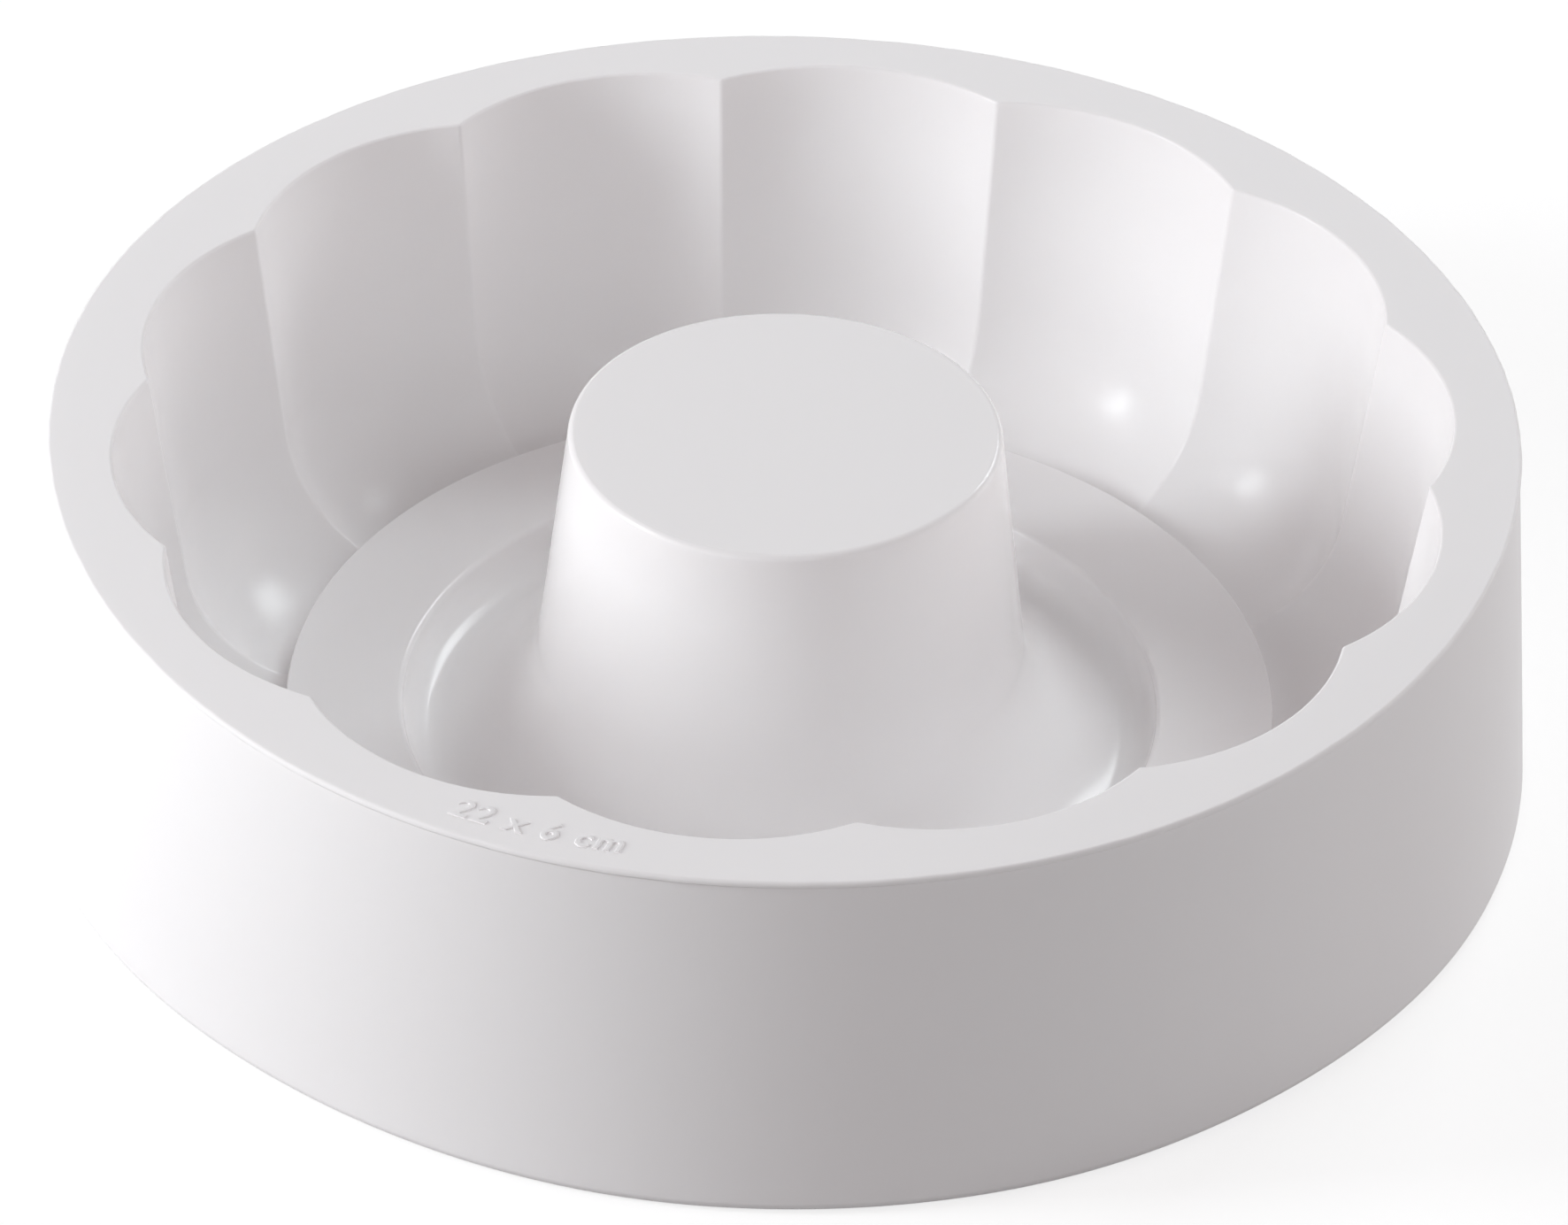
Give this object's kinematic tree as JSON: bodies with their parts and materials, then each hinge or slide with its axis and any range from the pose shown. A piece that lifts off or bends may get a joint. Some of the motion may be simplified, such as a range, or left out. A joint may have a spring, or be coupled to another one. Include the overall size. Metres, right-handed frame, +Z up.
{
  "type": "ring cake mould",
  "caption": "Round silicone cake mould: a deep fluted ring cavity inside a plain outer skirt, with a flat scalloped rim and a tapered hollow core level with it.",
  "frame": {"origin": "on the mould's upright axis, in the plane that it stands on", "axes": "+Z up along the axis, towards the open side; +X and -X each run through a ridge between two flutes, +Y and -Y through the middle of a flute"},
  "size_m": [0.2478, 0.2478, 0.063],
  "materials": {
    "silicone": "satin"
  },
  "bodies": {
    "root": {"outer_skirt": "silicone", "rim": "silicone", "flute_01": "silicone", "flute_02": "silicone", "flute_03": "silicone", "flute_04": "silicone", "flute_05": "silicone", "flute_06": "silicone", "flute_07": "silicone", "flute_08": "silicone", "flute_09": "silicone", "flute_10": "silicone", "flute_11": "silicone", "flute_12": "silicone", "flute_13": "silicone", "flute_14": "silicone", "floor_plateau": "silicone", "floor_groove": "silicone", "core_wall": "silicone", "core_cap": "silicone"}
  },
  "joints": []
}
